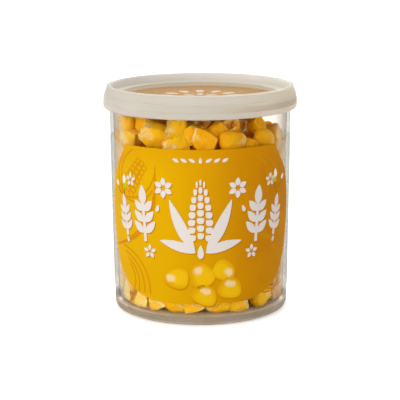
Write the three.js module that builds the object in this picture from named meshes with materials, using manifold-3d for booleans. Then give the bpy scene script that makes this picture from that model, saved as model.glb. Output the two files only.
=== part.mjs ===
// A round clear plastic tub of freeze-dried corn kernels, shut by a milky press-on lid.
// Millimetres, +Z up, origin at the centre of the foot. The label's yellow panel faces -Y.
import * as THREE from "three";
import { mergeVertices } from "three/addons/utils/BufferGeometryUtils.js";
import Module from "manifold-3d";

const wasm = await Module();
wasm.setup();

// Driving dimensions.
const TUB_TOP = 92; // top of the tub's own rim, hidden under the lid
const FOOT_R = 36.85; // outer wall radius where the wall meets the foot
const MOUTH_R = 38.2; // outer wall radius at the mouth
const WALL = 1.5;
const FLOOR_TOP = 4.2; // inner floor above the table
const FLOOR_UNDER = 2.2; // underside of the floor, recessed inside the foot ring
const RECESS_R = 31; // flat underside of the floor
const FOOT_RING_R = 32.4; // inner edge of the foot ring
const FOOT_CORNER = 2.8; // rounding between foot and wall
const FLANGE = 1.1; // how far the tub's rim stands out under the lid
const LID_TOP = 95.2;
const LID_R = 40.8; // widest part of the lid's skirt
const LID_SKIN = 0.9;
const LID_EDGE = 85.7; // lower edge of the skirt
const BEAD_R = 38.65; // ridge inside the skirt that grips under the tub's rim
const CREST_R = [37.6, 38.4]; // flat crest of the raised rim, inner and outer edge
const PLUG_R = 36.3; // groove side of the rim, inside the tub's mouth
const LEDGE = 0.9; // step from the sunken middle up to the ledge round it
const PANEL_R = 31.5; // sunken middle of the lid
const PANEL_TOP = 91;
const SEAL_R = 31.2; // printed disc stuck under the sunken middle
const SEAL_THICK = 0.3;
const LABEL_TOP = 73.6;
const LABEL_FOOT = 9.9;
const FILM_GAP = 0.1; // between the tub and the clear film, and between film and panel
const FILM_THICK = 0.15;
const KERNEL = { length: 11, width: 8.4, thick: 6 };
const KERNEL_SIDES = 5;
const PILE_TOP = 82.5; // usual height of the corn
const PILE_DIP = 7; // how much lower it lies at the right
const PILE_SHOULDER = 2; // how much lower it lies at the left
const PILE_CROWN = 2.5; // how much higher it lies in the middle
const WALL_ROW_R = 33; // circle through the kernels against the wall
const TOP_COUNT = 32; // kernels on top of the heap
const CORE_R = 30.8; // the heap's plain inside
const CORE_SIDES = 12;
const CORN_GAP = 0.35; // between the corn and the tub
const ROUND_STEPS = 48; // flats round every turned piece

const QUARTER = Math.PI / 2;
const GOLDEN_ANGLE = Math.PI * (3 - Math.sqrt(5));

// The wall widens evenly from foot to mouth.
function wallRadius(z) {
  return FOOT_R + ((MOUTH_R - FOOT_R) * z) / TUB_TOP;
}

function innerRadius(z) {
  return wallRadius(z) - WALL;
}

// Points [radius, height] as a profile for turning.
function profile(pairs) {
  return pairs.map(([r, z]) => new THREE.Vector2(r, z));
}

// A quarter-round from angle a to angle b about a centre, as profile pairs.
function corner(r, z, radius, a, b, steps = 4) {
  return Array.from({ length: steps + 1 }, (_, i) => {
    const angle = a + ((b - a) * i) / steps;
    return [r + radius * Math.cos(angle), z + radius * Math.sin(angle)];
  });
}

// Turns a profile about +Z. One that leaves the axis free is closed on itself.
function turned(pairs) {
  const closed = pairs[0][0] > 0 ? [...pairs, pairs[0]] : pairs;
  return new THREE.LatheGeometry(profile(closed), ROUND_STEPS).rotateX(QUARTER);
}

function tubGeometry() {
  const rimFoot = TUB_TOP - FLANGE * 2;
  return turned([
    [0, FLOOR_UNDER],
    [RECESS_R, FLOOR_UNDER],
    [FOOT_RING_R, 0],
    ...corner(FOOT_R - FOOT_CORNER, FOOT_CORNER, FOOT_CORNER, -QUARTER, 0),
    [wallRadius(rimFoot), rimFoot],
    [MOUTH_R + FLANGE, TUB_TOP - FLANGE * 1.5],
    [MOUTH_R + FLANGE, TUB_TOP - FLANGE * 0.5],
    [MOUTH_R + FLANGE * 0.5, TUB_TOP],
    [innerRadius(TUB_TOP), TUB_TOP],
    [innerRadius(FLOOR_TOP) + 0.02, FLOOR_TOP + 1],
    [innerRadius(FLOOR_TOP) - 0.3, FLOOR_TOP + 0.3],
    [innerRadius(FLOOR_TOP) - 1, FLOOR_TOP],
    [0, FLOOR_TOP],
  ]);
}

// The lid: a sunken middle, a raised rim over the tub's mouth and a skirt that snaps below it.
function lidGeometry() {
  const underPanel = PANEL_TOP - LID_SKIN;
  const [crestIn, crestOut] = CREST_R;
  const underSide = [
    [0, underPanel],
    [PANEL_R + LID_SKIN, underPanel],
    [PANEL_R + LID_SKIN * 2, PANEL_TOP],
    [PLUG_R - 0.7, PANEL_TOP + 0.2],
    [PLUG_R, PANEL_TOP + 0.8],
    [PLUG_R + 0.1, TUB_TOP + 0.6],
    [crestIn + 0.3, LID_TOP - LID_SKIN],
    [crestOut, LID_TOP - LID_SKIN],
    [LID_R - 1.2, TUB_TOP + 0.7],
    [LID_R - 1, TUB_TOP - 2.5],
    [LID_R - 1.1, LID_EDGE + 2],
    [BEAD_R, LID_EDGE + 1],
    [BEAD_R, LID_EDGE],
  ];
  const outSide = [
    [LID_R - 0.7, LID_EDGE],
    [LID_R - 0.1, LID_EDGE + 0.7],
    [LID_R, LID_EDGE + 2],
    [LID_R - 0.15, LID_EDGE + 4.3],
    [LID_R - 0.5, LID_EDGE + 6.1],
    [LID_R - 1.3, LID_EDGE + 8.2],
    [LID_R - 1.9, LID_TOP - 0.3],
    [crestOut, LID_TOP],
  ];
  const middle = [
    [crestIn, LID_TOP],
    [crestIn - 0.4, LID_TOP - 0.4],
    [PLUG_R - 0.5, PANEL_TOP + LEDGE + 0.2],
    [PANEL_R + 1, PANEL_TOP + LEDGE],
    [PANEL_R, PANEL_TOP],
    [0, PANEL_TOP],
  ];
  return turned([...underSide, ...outSide, ...middle]);
}

function sealGeometry() {
  const top = PANEL_TOP - LID_SKIN - 0.05;
  return turned([
    [0, top - SEAL_THICK],
    [SEAL_R, top - SEAL_THICK],
    [SEAL_R, top],
    [0, top],
  ]);
}

// A thin clear sleeve round the whole wall.
function filmGeometry() {
  const inside = (z) => wallRadius(z) + FILM_GAP;
  return turned([
    [inside(LABEL_FOOT), LABEL_FOOT],
    [inside(LABEL_FOOT) + FILM_THICK, LABEL_FOOT],
    [inside(LABEL_TOP) + FILM_THICK, LABEL_TOP],
    [inside(LABEL_TOP), LABEL_TOP],
  ]);
}

// Half the angle that the yellow panel spans, in degrees, from its foot (0) to its top (1).
const panelSpan = new THREE.SplineCurve(
  profile([
    [0, 30],
    [0.02, 39],
    [0.07, 51],
    [0.17, 61],
    [0.33, 68],
    [0.58, 71],
    [0.8, 66.5],
    [1, 53],
  ]),
);

function panelHeight(share) {
  return THREE.MathUtils.lerp(LABEL_FOOT, LABEL_TOP, share);
}

// The barrel-shaped panel: a turned sleeve over the film, cut to its outline as seen from the front.
function panelGeometry() {
  const inside = (z) => wallRadius(z) + FILM_GAP * 2 + FILM_THICK;
  const sleeve = turned([
    [inside(LABEL_FOOT), LABEL_FOOT],
    [inside(LABEL_FOOT) + FILM_THICK, LABEL_FOOT],
    [inside(LABEL_TOP) + FILM_THICK, LABEL_TOP],
    [inside(LABEL_TOP), LABEL_TOP],
  ]);
  const edge = panelSpan.getPoints(28).map((span) => {
    const z = panelHeight(span.x);
    return new THREE.Vector2(inside(z) * Math.sin(THREE.MathUtils.degToRad(span.y)), z);
  });
  const left = edge.map((point) => new THREE.Vector2(-point.x, point.y)).reverse();
  const outline = new THREE.Shape([...edge, ...left]);
  const cutter = new THREE.ExtrudeGeometry(outline, { depth: MOUTH_R * 2, bevelEnabled: false });
  return geometryOf(solid(sleeve).intersect(solid(cutter.rotateX(QUARTER))));
}

// Half of the panel's angle at a share of its height, in radians.
function panelHalfAngle(share) {
  const above = panelSpan.points.findIndex((point) => point.x >= share);
  const [low, high] = [panelSpan.points[Math.max(0, above - 1)], panelSpan.points[above]];
  return THREE.MathUtils.degToRad(THREE.MathUtils.mapLinear(share, low.x, high.x, low.y, high.y));
}

// Seeded numbers from 0 to 1, the same on every run.
function seededRandom(seed) {
  let state = seed;
  return () => {
    state = (state + 0x6d2b79f5) | 0;
    let t = Math.imul(state ^ (state >>> 15), 1 | state);
    t = (t + Math.imul(t ^ (t >>> 7), 61 | t)) ^ t;
    return ((t ^ (t >>> 14)) >>> 0) / 4294967296;
  };
}

const random = seededRandom(20);
const spread = (amount) => (random() * 2 - 1) * amount;

// Height of the heap's top: level, then falling away to the right (+X), with a low crown.
function pileTop(x, y) {
  const dip = THREE.MathUtils.smoothstep(x, 4, WALL_ROW_R) * PILE_DIP;
  const shoulder = THREE.MathUtils.smoothstep(-x, 14, WALL_ROW_R) * PILE_SHOULDER;
  const crown = PILE_CROWN * (1 - (x * x + y * y) / (CORE_R * CORE_R));
  return PILE_TOP - dip - shoulder + crown;
}

// One kernel along +Y: a flat cut end, a full belly and a rounded crown.
function kernelGeometry() {
  const outline = profile([
    [0, -1],
    [0.62, -1],
    [1, 0.1],
    [0.72, 0.76],
    [0, 1],
  ]);
  const size = 1 + spread(0.12);
  return new THREE.LatheGeometry(outline, KERNEL_SIDES).scale(
    (KERNEL.width / 2) * size * (1 + spread(0.08)),
    (KERNEL.length / 2) * size * (1 + spread(0.08)),
    (KERNEL.thick / 2) * size * (1 + spread(0.08)),
  );
}

// Turns a kernel so that its thin way points along `out`, with its length at a random slant.
function leaned(geometry, out, lean) {
  const facing = new THREE.Quaternion().setFromUnitVectors(new THREE.Vector3(0, 0, 1), out);
  const roll = new THREE.Quaternion().setFromAxisAngle(out, spread(Math.PI));
  const tip = new THREE.Quaternion().setFromEuler(new THREE.Euler(spread(lean), spread(lean), 0));
  return geometry.applyQuaternion(roll.multiply(facing).multiply(tip));
}

// Largest distance from the axis, or lowest height, that a geometry reaches when moved by `by`.
function reach(geometry, by) {
  const place = geometry.getAttribute("position");
  const point = new THREE.Vector3();
  let radius = 0;
  let low = Infinity;
  for (let i = 0; i < place.count; i++) {
    point.fromBufferAttribute(place, i).add(by);
    radius = Math.max(radius, Math.hypot(point.x, point.y));
    low = Math.min(low, point.z);
  }
  return { radius, low };
}

// Moves a kernel to `spot`, then inwards and upwards until it clears the wall and the floor.
function settled(geometry, spot) {
  const { radius, low } = reach(geometry, spot);
  const room = innerRadius(Math.max(FLOOR_TOP, low)) - CORN_GAP;
  const inwards = Math.min(0, room - radius);
  const away = Math.hypot(spot.x, spot.y) || 1;
  spot.x += (spot.x / away) * inwards;
  spot.y += (spot.y / away) * inwards;
  spot.z += Math.max(0, FLOOR_TOP + CORN_GAP - low);
  return geometry.translate(spot.x, spot.y, spot.z);
}

// True where the opaque panel hides the corn from every side.
function behindPanel(angle, z) {
  const share = (z - LABEL_FOOT) / (LABEL_TOP - LABEL_FOOT);
  if (share < 0.13 || share > 0.87) return false;
  const turn = Math.PI * 2;
  const fromFront = THREE.MathUtils.euclideanModulo(angle + QUARTER + Math.PI, turn) - Math.PI;
  return Math.abs(fromFront) < panelHalfAngle(share) - 0.16;
}

// Kernels against the wall, in rings that are staggered like bricks.
function wallKernels() {
  const kernels = [];
  const ringStep = KERNEL.width * 1.07;
  const places = Math.round((Math.PI * 2 * WALL_ROW_R) / (KERNEL.length * 1.05));
  for (let ring = 0; ; ring++) {
    const level = FLOOR_TOP + 4 + ring * ringStep;
    if (level > PILE_TOP) break;
    for (let i = 0; i < places; i++) {
      const angle = ((i + (ring % 2) / 2 + spread(0.16)) / places) * Math.PI * 2;
      const out = new THREE.Vector3(Math.cos(angle), Math.sin(angle), 0);
      const spot = out.clone().multiplyScalar(WALL_ROW_R + spread(0.6));
      spot.z = level + spread(0.9);
      if (behindPanel(angle, spot.z) || spot.z > pileTop(spot.x, spot.y) - 2) continue;
      kernels.push(settled(leaned(kernelGeometry(), out, 0.45), spot));
    }
  }
  return kernels;
}

// Kernels over the top of the heap, spread in a sunflower spiral.
function topKernels() {
  return Array.from({ length: TOP_COUNT }, (_, i) => {
    const away = (CORE_R + 0.7) * Math.sqrt((i + 0.5) / TOP_COUNT);
    const x = away * Math.cos(i * GOLDEN_ANGLE);
    const y = away * Math.sin(i * GOLDEN_ANGLE);
    const spot = new THREE.Vector3(x, y, pileTop(x, y) - 2.6 + spread(0.8));
    return settled(leaned(kernelGeometry(), new THREE.Vector3(0, 0, 1), 0.5), spot);
  });
}

// The heap's plain core: a cylinder whose top follows the heap.
function coreGeometry() {
  const foot = FLOOR_TOP + CORN_GAP;
  const core = new THREE.CylinderGeometry(CORE_R, CORE_R, 1, CORE_SIDES, 1).rotateX(QUARTER);
  const place = core.getAttribute("position");
  for (let i = 0; i < place.count; i++) {
    const top = pileTop(place.getX(i), place.getY(i)) - 4;
    place.setZ(i, place.getZ(i) > 0 ? top : foot);
  }
  return core;
}

// A geometry as a solid that can be joined.
function solid(geometry) {
  const bare = new THREE.BufferGeometry();
  bare.setAttribute("position", geometry.getAttribute("position"));
  bare.setIndex(geometry.getIndex());
  const merged = mergeVertices(bare, 1e-4);
  return new wasm.Manifold(
    new wasm.Mesh({
      numProp: 3,
      vertProperties: merged.getAttribute("position").array,
      triVerts: new Uint32Array(merged.getIndex().array),
    }),
  );
}

// The largest body of a solid, with the hollows that joining has sealed filled.
function outerBody(joined) {
  return joined.decompose().reduce((best, body) => (body.volume() > best.volume() ? body : best));
}

function geometryOf(joined) {
  const { vertProperties, triVerts } = joined.getMesh();
  const geometry = new THREE.BufferGeometry();
  geometry.setAttribute("position", new THREE.BufferAttribute(vertProperties, 3));
  geometry.setIndex(new THREE.BufferAttribute(triVerts, 1));
  return geometry;
}

function cornGeometry() {
  const kernels = [...wallKernels(), ...topKernels()];
  const heap = kernels.reduce((joined, kernel) => joined.add(solid(kernel)), solid(coreGeometry()));
  return geometryOf(outerBody(heap));
}

const CLEAR = { transparent: true, opacity: 0.25, roughness: 0.08 };
const FINISHES = {
  tub: { color: 0xe9edec, ...CLEAR },
  lid: { color: 0xdcd6c8, roughness: 0.45, transparent: true, opacity: 0.85 },
  seal: { color: 0xe0901e, roughness: 0.4 },
  label_film: { color: 0xf2f2ee, ...CLEAR },
  label_panel: { color: 0xe5a008, roughness: 0.5 },
  corn: { color: 0xf0b22c, roughness: 0.75 },
};

function piece(name, geometry) {
  const material = new THREE.MeshStandardMaterial({ metalness: 0, ...FINISHES[name] });
  const mesh = new THREE.Mesh(geometry, material);
  mesh.name = name;
  return mesh;
}

const pack = new THREE.Group();
pack.add(
  piece("tub", tubGeometry()),
  piece("lid", lidGeometry()),
  piece("seal", sealGeometry()),
  piece("label_film", filmGeometry()),
  piece("label_panel", panelGeometry()),
  piece("corn", cornGeometry()),
);

export default pack;
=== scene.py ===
"""A clear plastic tub of freeze-dried corn kernels with a milky press-on lid and a yellow label."""

import math
import random
from collections import namedtuple

import bmesh
import bpy
from mathutils import Euler, Matrix, Vector, noise


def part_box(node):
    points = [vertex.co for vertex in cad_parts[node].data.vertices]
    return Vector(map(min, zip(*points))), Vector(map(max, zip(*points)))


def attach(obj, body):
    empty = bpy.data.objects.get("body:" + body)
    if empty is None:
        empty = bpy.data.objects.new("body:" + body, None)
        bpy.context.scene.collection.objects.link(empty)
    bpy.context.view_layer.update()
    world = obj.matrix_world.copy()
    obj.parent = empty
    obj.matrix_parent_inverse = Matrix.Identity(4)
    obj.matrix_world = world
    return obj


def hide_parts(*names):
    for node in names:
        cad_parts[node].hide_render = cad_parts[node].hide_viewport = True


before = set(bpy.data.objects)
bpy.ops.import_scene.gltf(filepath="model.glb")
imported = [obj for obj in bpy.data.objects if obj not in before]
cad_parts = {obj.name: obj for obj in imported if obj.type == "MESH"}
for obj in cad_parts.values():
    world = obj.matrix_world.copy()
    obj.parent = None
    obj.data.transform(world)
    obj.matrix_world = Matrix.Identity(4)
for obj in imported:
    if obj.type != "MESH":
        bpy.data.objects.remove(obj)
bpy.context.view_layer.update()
ROOT = "root"
MM = 0.001
WHITE = (1.0, 1.0, 1.0)

# ---------------------------------------------------------------- sizes, in millimetres
TUB_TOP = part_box("tub")[1][2] / MM
LID_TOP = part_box("lid")[1][2] / MM
LID_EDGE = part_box("lid")[0][2] / MM
LID_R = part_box("lid")[1][0] / MM
LABEL_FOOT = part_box("label_film")[0][2] / MM
LABEL_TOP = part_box("label_film")[1][2] / MM
SEAL_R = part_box("seal")[1][0] / MM
SEAL_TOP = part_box("seal")[1][2] / MM
SEAL_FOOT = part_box("seal")[0][2] / MM

FOOT_R = 36.85
MOUTH_R = 38.2
WALL = 1.5
FLOOR_TOP = 4.2
FLOOR_UNDER = 2.2
LID_MIDDLE = 91.0  # top of the lid's sunken middle
LID_SKIN = 0.9
FILM_GAP = 0.1
FILM_THICK = 0.15
ROUND_STEPS = 144

# The heap's surface: its height, then each fall as (where it starts, where it ends, how deep).
PILE_TOP = 82.5
PILE_RIGHT_SLOPE = (6.0, 28.0, 3.5)
PILE_RIGHT_DROP = (24.5, 30.5, 8.5)
PILE_LEFT_SHOULDER = (14.0, 33.0, 2.0)
PILE_CROWN = 2.5
PILE_CROWN_R = 31.0


def wall_radius(z):
    """Outer radius of the tub's wall at this height."""
    return FOOT_R + (MOUTH_R - FOOT_R) * z / TUB_TOP


def inner_radius(z):
    """Inner radius of the tub's wall at this height."""
    return wall_radius(z) - WALL


def smoothstep(value, low, high):
    share = min(1.0, max(0.0, (value - low) / (high - low)))
    return share * share * (3.0 - 2.0 * share)


def fall(across, start, end, depth):
    """How far the heap's surface has fallen at this distance from the middle."""
    return smoothstep(across, start, end) * depth


def pile_top(x, y):
    """Height of the corn: level, lower to the right and a little to the left, with a low crown."""
    right = fall(x, *PILE_RIGHT_SLOPE) + fall(x, *PILE_RIGHT_DROP)
    left = fall(-x, *PILE_LEFT_SHOULDER)
    crown = PILE_CROWN * (1.0 - (x * x + y * y) / PILE_CROWN_R**2)
    return PILE_TOP - right - left + crown


# ---------------------------------------------------------------- making pieces


def bare_mesh(bm, name):
    """Turns a bmesh into a mesh."""
    mesh = bpy.data.meshes.new(name)
    bm.to_mesh(mesh)
    bm.free()
    return mesh


def new_piece(name, bm, material, replaces=(), smooth=True):
    """Turns a bmesh into a piece that rides on the tub's body."""
    mesh = bare_mesh(bm, name)
    mesh.polygons.foreach_set("use_smooth", [smooth] * len(mesh.polygons))
    mesh.materials.append(material)
    piece = bpy.data.objects.new(name, mesh)
    bpy.context.scene.collection.objects.link(piece)
    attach(piece, ROOT)
    if replaces:
        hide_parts(*replaces)
    return piece


def spun(outline, rounding=0.25):
    """A closed outline of (radius, height) in mm, its corners rounded, turned about Z."""
    bm = bmesh.new()
    points = [bm.verts.new((r * MM, 0.0, z * MM)) for r, z in outline]
    pairs = list(zip(points, points[1:]))
    if outline[0][0] > 0.0:
        pairs.append((points[-1], points[0]))
    for a, b in pairs:
        bm.edges.new((a, b))
    corners = [v for v in points if len(v.link_edges) == 2]
    bmesh.ops.bevel(
        bm,
        geom=corners,
        offset=rounding * MM,
        offset_type="OFFSET",
        segments=3,
        profile=0.5,
        affect="VERTICES",
        clamp_overlap=True,
        material=-1,
    )
    bmesh.ops.spin(
        bm,
        geom=bm.verts[:] + bm.edges[:],
        cent=(0, 0, 0),
        axis=(0, 0, 1),
        angle=math.tau,
        steps=ROUND_STEPS,
        use_merge=True,
    )
    bmesh.ops.remove_doubles(bm, verts=bm.verts[:], dist=1e-7)
    bmesh.ops.recalc_face_normals(bm, faces=bm.faces[:])
    return bm


# ---------------------------------------------------------------- finishes


class Nodes:
    """Short ways to add nodes to a tree and to join them."""

    def __init__(self, tree):
        self.tree = tree

    def give(self, socket, value):
        """Links a socket to another node's output, or sets it to a number, a vector or a colour."""
        if isinstance(value, bpy.types.NodeSocket):
            self.tree.links.new(value, socket)
        elif socket.type == "RGBA":
            socket.default_value = (*value, 1.0)
        else:
            socket.default_value = value

    def node(self, kind, feeds=None, **settings):
        """A new node with its settings made and its sockets, by name or number, fed."""
        made = self.tree.nodes.new(kind)
        for key, value in settings.items():
            setattr(made, key, value)
        for socket, value in (feeds or {}).items():
            self.give(made.inputs[socket], value)
        return made

    def spread(self, value, low, high, to_low=0.0, to_high=1.0, curve="SMOOTHSTEP"):
        """Runs from to_low to to_high as the value goes from low to high."""
        feeds = {"Value": value, "From Min": low, "From Max": high, "To Min": to_low, "To Max": to_high}
        return self.node("ShaderNodeMapRange", feeds, interpolation_type=curve).outputs[0]

    def sums(self, operation, *terms):
        """A Math node's result from numbers and other nodes' outputs."""
        return self.node("ShaderNodeMath", dict(enumerate(terms)), operation=operation).outputs[0]

    def times(self, a, b):
        return self.sums("MULTIPLY", a, b)

    def plus(self, a, b):
        return self.sums("ADD", a, b)

    def mixed(self, share, a, b):
        """Colour a where share is 0 and colour b where it is 1."""
        return self.node("ShaderNodeMix", {0: share, 6: a, 7: b}, data_type="RGBA").outputs[2]


class Finish(Nodes):
    """A node material with a Principled shader, called its skin."""

    def __init__(self, name, **sockets):
        self.material = bpy.data.materials.new(name)
        self.material.use_nodes = True
        super().__init__(self.material.node_tree)
        self.tree.nodes.clear()
        self.out = self.node("ShaderNodeOutputMaterial")
        self.skin = self.node("ShaderNodeBsdfPrincipled")
        for socket, value in sockets.items():
            self.wear(socket.replace("_", " "), value)
        self.show(self.skin)
        self.place = self.node("ShaderNodeTexCoord").outputs["Object"]

    def wear(self, socket, value):
        self.give(self.skin.inputs[socket], value)

    def show(self, shader):
        self.give(self.out.inputs["Surface"], shader.outputs[0])

    def layered(self, share, under, over):
        """The shader under where share is 0, and the shader over where it is 1."""
        return self.node("ShaderNodeMixShader", {0: share, 1: under.outputs[0], 2: over.outputs[0]})

    def axes(self):
        """The place across, along and up the piece, in metres."""
        return self.node("ShaderNodeSeparateXYZ", {0: self.place}).outputs

    def between(self, place, low, high, to_low=0.0, to_high=1.0):
        """Runs from to_low to to_high between two places in mm along an axis."""
        return self.spread(place, low * MM, high * MM, to_low, to_high)

    def noise(self, per_mm, detail=3.0, rough=0.55, stretch=(1, 1, 1)):
        """Soft clouds from 0 to 1, of this many to the millimetre."""
        shift = self.node("ShaderNodeMapping", {"Vector": self.place, "Scale": stretch})
        feeds = {"Vector": shift.outputs[0], "Scale": per_mm / MM, "Detail": detail, "Roughness": rough}
        return self.node("ShaderNodeTexNoise", feeds).outputs["Fac"]

    def relief(self, height, depth_mm, strength):
        feeds = {"Height": height, "Distance": depth_mm * MM, "Strength": strength}
        self.wear("Normal", self.node("ShaderNodeBump", feeds).outputs[0])


SLANT_POWER = 3.8  # how late the clear wall darkens as it turns away
GLOSS_ROUGHNESS = 0.06
GLOSS_BLEND = 0.09  # how strongly the clear wall shines face on


def see_through(made, tint_face, tint_edge, gloss_share, haze_share):
    """Light passes a tinted wall, darker at a slant, under gloss and a little haze of the wall's own."""
    slant = made.node("ShaderNodeLayerWeight", {"Blend": 0.5}).outputs["Facing"]
    tint = made.mixed(made.sums("POWER", slant, SLANT_POWER), tint_face, tint_edge)
    hazy = made.layered(haze_share, made.node("ShaderNodeBsdfTransparent", {"Color": tint}), made.skin)
    shine = made.node("ShaderNodeBsdfGlossy", {"Roughness": GLOSS_ROUGHNESS})
    fresnel = made.node("ShaderNodeLayerWeight", {"Blend": GLOSS_BLEND}).outputs["Fresnel"]
    made.show(made.layered(made.times(fresnel, gloss_share), hazy, shine))


def clear_plastic():
    """Clear moulded plastic: see-through wall over a denser, warm grey foot, whose brown is painted
    shade of the corn seen through it, with a painted bright floor line, and painted lid shadow darkening
    the wall under the lid.
    """
    ring_tan = (0.51, 0.375, 0.225)
    foot_painted_shade_brown = (0.27, 0.205, 0.13)
    floor_line_painted_light = (0.66, 0.42, 0.17)
    cloud_brown = (0.37, 0.29, 0.19)
    face_clear = (0.970, 0.962, 0.942)
    face_shaded = (0.935, 0.918, 0.885)
    edge_grey = (0.76, 0.735, 0.69)
    edge_shaded = (0.60, 0.585, 0.55)
    made = Finish("clear_moulded_plastic", Roughness=0.35, Specular_IOR_Level=0.2)
    height = made.axes()["Z"]
    # Painted shade and light: the foot's brown stands in for the shaded corn and floor seen through it,
    # and the gold line at the floor for its lit edge.
    foot = made.mixed(made.between(height, 1.2, 2.0), ring_tan, foot_painted_shade_brown)
    foot = made.mixed(made.between(height, 3.8, 4.4), foot, floor_line_painted_light)
    cloud = made.spread(made.noise(0.05), 0.3, 0.8, 0.0, 0.4)
    made.wear("Base Color", made.mixed(cloud, foot, cloud_brown))
    dense = made.between(height, 6.4, 4.0, 0.001, 0.62)
    flow = made.spread(made.noise(0.06, 2.0, stretch=(1, 1, 0.25)), 0.35, 0.7, 0.8, 1.15)
    # Painted shadow of the lid: from 66 mm up the wall lets through less light, and it is darkest from
    # 80 mm up.
    painted_lid_shadow = made.between(height, 66.0, 80.0)
    face = made.mixed(painted_lid_shadow, face_clear, face_shaded)
    edge = made.mixed(painted_lid_shadow, edge_grey, edge_shaded)
    see_through(made, face, edge, 0.4, made.times(dense, flow))
    return made.material


def clear_film():
    """Thin clear film: nearly invisible face on, glossy and faintly hazy at a slant."""
    face_clear = (0.992, 0.99, 0.98)
    edge_grey = (0.92, 0.91, 0.89)
    made = Finish("clear_label_film", Base_Color=(0.86, 0.82, 0.76), Roughness=0.3)
    haze = made.spread(made.noise(0.04, 2.0), 0.35, 0.7, 0.001, 0.004)
    see_through(made, face_clear, edge_grey, 0.3, haze)
    return made.material


LID_SEE_MIDDLE = 0.88  # share of light that each face of the sunken middle lets straight through
LID_SEE_RIM = 0.24
LID_GLOW = 0.44  # share of the rest that soaks through the milky plastic


def milky_plastic():
    """Half see-through milky plastic, clearest in the thin middle that lies on the disc, with painted
    light on its right side and inner rim slope and a painted shade band on its skirt.
    """
    cream = (0.70, 0.665, 0.59)
    pale_cream = (0.74, 0.71, 0.645)
    right_painted_light_cream = (0.82, 0.755, 0.64)
    painted_shade_brown = (0.64, 0.555, 0.43)
    slope_painted_light = (0.86, 0.85, 0.80)
    middle_tan = (0.66, 0.54, 0.37)
    made = Finish(
        "milky_lid_plastic",
        Subsurface_Weight=0.25,
        Subsurface_Radius=(1.0, 0.9, 0.7),
        Subsurface_Scale=2.0 * MM,
        Specular_IOR_Level=0.3,
    )
    across, along, height = made.axes()
    away = made.sums("SQRT", made.plus(made.sums("POWER", across, 2.0), made.sums("POWER", along, 2.0)))
    # Painted light: the lid is made paler and warmer towards its right side, the side turned from the
    # key lamp.
    right = made.between(across, 0.0, 36.0)
    tone = made.mixed(made.noise(0.035), cream, pale_cream)
    tone = made.mixed(right, tone, right_painted_light_cream)
    # Painted shade: a darker band low on the skirt's right side, where the skirt faces down and away
    # from the lamp.
    band_foot = made.between(height, LID_EDGE + 2.1, LID_EDGE + 2.7)
    band_head = made.between(height, LID_EDGE + 5.4, LID_EDGE + 4.2)
    painted_shade_band = made.times(made.times(band_foot, band_head), right)
    tone = made.mixed(painted_shade_band, tone, painted_shade_brown)
    # Painted light: the rim's inner slope is made paler, as if lit through the milky plastic.
    tone = made.mixed(made.between(away, 37.9, 37.3), tone, slope_painted_light)
    tone = made.mixed(made.between(away, 33.8, 32.8), tone, middle_tan)
    made.wear("Base Color", tone)
    made.wear("Roughness", made.spread(made.noise(0.2, 2.0), 0.3, 0.7, 0.3, 0.42))
    made.relief(made.noise(0.5), 0.02, 0.4)
    milky = made.layered(LID_GLOW, made.skin, made.node("ShaderNodeBsdfTranslucent", {"Color": tone}))
    see_share = made.between(away, 32.6, 31.2, LID_SEE_RIM, LID_SEE_MIDDLE)
    made.show(made.layered(see_share, milky, made.node("ShaderNodeBsdfTransparent")))
    return made.material


INK_SHEEN = 0.03


def ink_grain(made):
    """The faint grain of ink on film."""
    made.relief(made.noise(2.5, 2.0), 0.004, 0.3)


def printed(name, light, dark):
    """Flat ink on film: two near tones that cloud into each other, with a fine grain."""
    made = Finish(name, Specular_IOR_Level=INK_SHEEN)
    made.wear("Base Color", made.mixed(made.noise(0.06), light, dark))
    made.wear("Roughness", made.spread(made.noise(1.2, 2.0), 0.3, 0.7, 0.46, 0.56))
    ink_grain(made)
    return made.material


LABEL_BACK_PAINTED_GLOW = (0.20, 0.085, 0.008)  # painted glow on the panel's inner face, standing in for light that comes through the print


def label_ground():
    """The panel's ink: golden, with painted shade that makes it deeper and warmer towards its right side
    and a painted lid shadow towards its head; its inner faces carry a painted glow.
    """
    golden = (0.58, 0.325, 0.0)
    right_painted_shade_amber = (0.435, 0.158, 0.0)
    head_painted_shadow_amber = (0.50, 0.20, 0.0)
    cloud_gold = (0.55, 0.255, 0.0)
    made = Finish("label_ground", Specular_IOR_Level=INK_SHEEN, Roughness=0.55)
    across, _, height = made.axes()
    # Painted shade: deeper and warmer towards the right, the side turned from the key lamp, and a
    # painted shadow of the lid towards the head.
    ground = made.mixed(made.between(across, -30.0, 34.0), golden, right_painted_shade_amber)
    ground = made.mixed(made.between(height, 62.0, 74.0, 0.0, 0.4), ground, head_painted_shadow_amber)
    cloud = made.spread(made.noise(0.05), 0.35, 0.7, 0.0, 0.35)
    made.wear("Base Color", made.mixed(cloud, ground, cloud_gold))
    # Painted glow: the faces that look inward emit a dim amber, standing in for light through the print.
    normal = made.node("ShaderNodeNewGeometry").outputs["Normal"]
    outward = made.node("ShaderNodeVectorMath", {0: normal, 1: made.place}, operation="DOT_PRODUCT")
    made.wear("Emission Color", LABEL_BACK_PAINTED_GLOW)
    made.wear("Emission Strength", made.sums("LESS_THAN", outward.outputs["Value"], 0.0))
    ink_grain(made)
    return made.material


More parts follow.
